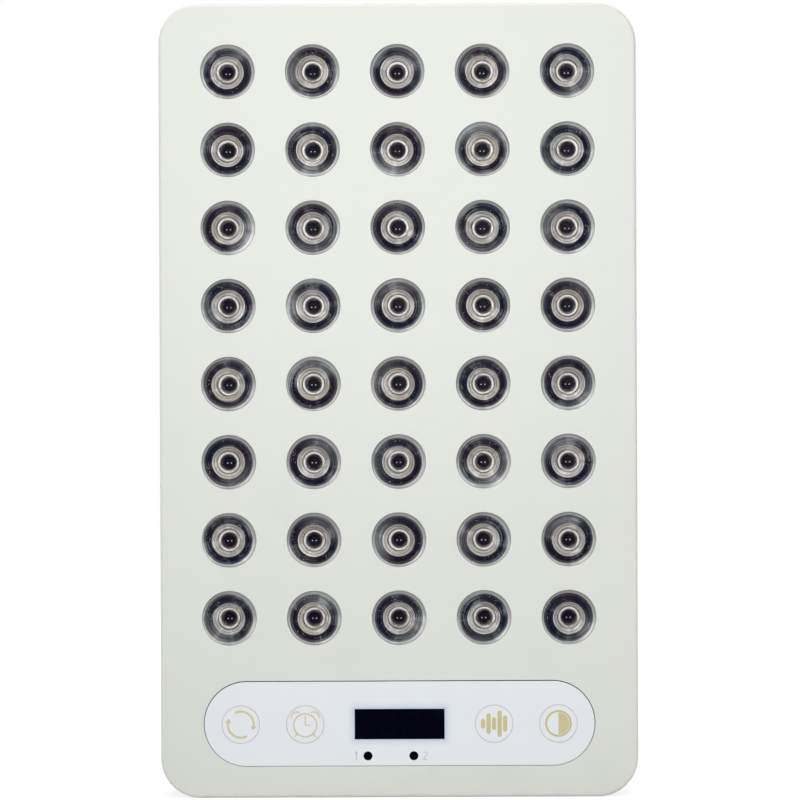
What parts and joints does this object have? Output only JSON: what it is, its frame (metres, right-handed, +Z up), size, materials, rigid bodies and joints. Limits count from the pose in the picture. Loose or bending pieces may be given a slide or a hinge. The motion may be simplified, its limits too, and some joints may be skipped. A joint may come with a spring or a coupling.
{
  "type": "light therapy panel",
  "caption": "Upright red and near infrared light therapy panel with lensed emitters, a push key control strip, a display, a rear fan, a mains inlet, a rocker switch and a fold-out easel stand.",
  "frame": {"origin": "centre of the bottom of the whole object's box, on the surface it stands on", "axes": "+Z up along the height, +X to the right seen from the front, -Y out of the lit face"},
  "size_m": [0.2164, 0.066, 0.36],
  "materials": {
    "housing_paint": "satin warm white powder coat",
    "white_gloss": "glossy cool white overlay",
    "clear_lens": "clear moulded optic",
    "emitter_black": "dark emitter package",
    "board_white": "white solder mask on aluminium",
    "bare_aluminium": "mill finish extrusion",
    "dark_window": "near-black navy window",
    "black_plastic": "moulded black",
    "fan_black": "moulded black blades",
    "board_green": "green solder mask",
    "lamp_clear": "small clear lamp",
    "ribbon_grey": "grey flat lead",
    "plated_brass": "nickel plated pins",
    "switch_black": "moulded black paddle",
    "soft_rubber": "matt rubber",
    "plated_steel": "zinc plated",
    "dark_steel": "black oxide"
  },
  "bodies": {
    "housing": {"front_shell": "housing_paint", "rear_cover": "housing_paint", "lenses": "clear_lens", "emitters": "emitter_black", "led_board": "board_white", "heat_sink": "bare_aluminium", "control_overlay": "white_gloss", "display_window": "dark_window", "display_module": "black_plastic", "control_board": "board_green", "key_switches": "black_plastic", "indicator_lamps": "lamp_clear", "fan_frame": "black_plastic", "led_driver": "bare_aluminium", "control_ribbon": "ribbon_grey", "power_inlet": "black_plastic", "inlet_pins": "plated_brass", "rocker_body": "black_plastic", "stand_brackets": "plated_steel", "stand_pin": "plated_steel", "hanger_nuts": "plated_steel", "cover_screws": "dark_steel", "fan_screws": "dark_steel"},
    "mode_key": {"mode_key": "white_gloss"},
    "timer_key": {"timer_key": "white_gloss"},
    "pulse_key": {"pulse_key": "white_gloss"},
    "dimmer_key": {"dimmer_key": "white_gloss"},
    "fan_rotor": {"fan_rotor": "fan_black"},
    "rocker_paddle": {"rocker_paddle": "switch_black"},
    "stand": {"stand_frame": "housing_paint", "stand_foot": "soft_rubber"}
  },
  "joints": [
    {"name": "mode_key_press", "type": "slide", "parent": "housing", "child": "mode_key", "axis": [0, 1, 0], "range_m": [0, 0.0004], "stiffness_N_per_m": 3000},
    {"name": "timer_key_press", "type": "slide", "parent": "housing", "child": "timer_key", "axis": [0, 1, 0], "range_m": [0, 0.0004], "stiffness_N_per_m": 3000},
    {"name": "pulse_key_press", "type": "slide", "parent": "housing", "child": "pulse_key", "axis": [0, 1, 0], "range_m": [0, 0.0004], "stiffness_N_per_m": 3000},
    {"name": "dimmer_key_press", "type": "slide", "parent": "housing", "child": "dimmer_key", "axis": [0, 1, 0], "range_m": [0, 0.0004], "stiffness_N_per_m": 3000},
    {"name": "fan_spin", "type": "hinge", "parent": "housing", "child": "fan_rotor", "pos_m": [0, 0.0145, 0.262], "axis": [0, 1, 0], "continuous": true},
    {"name": "rocker_tilt", "type": "hinge", "parent": "housing", "child": "rocker_paddle", "pos_m": [0.076, 0.0266, 0.033], "axis": [-1, 0, 0], "range_deg": [0, 16]},
    {"name": "stand_swing", "type": "hinge", "parent": "housing", "child": "stand", "pos_m": [0, 0.0298, 0.19], "axis": [1, 0, 0], "range_deg": [0, 28]}
  ]
}
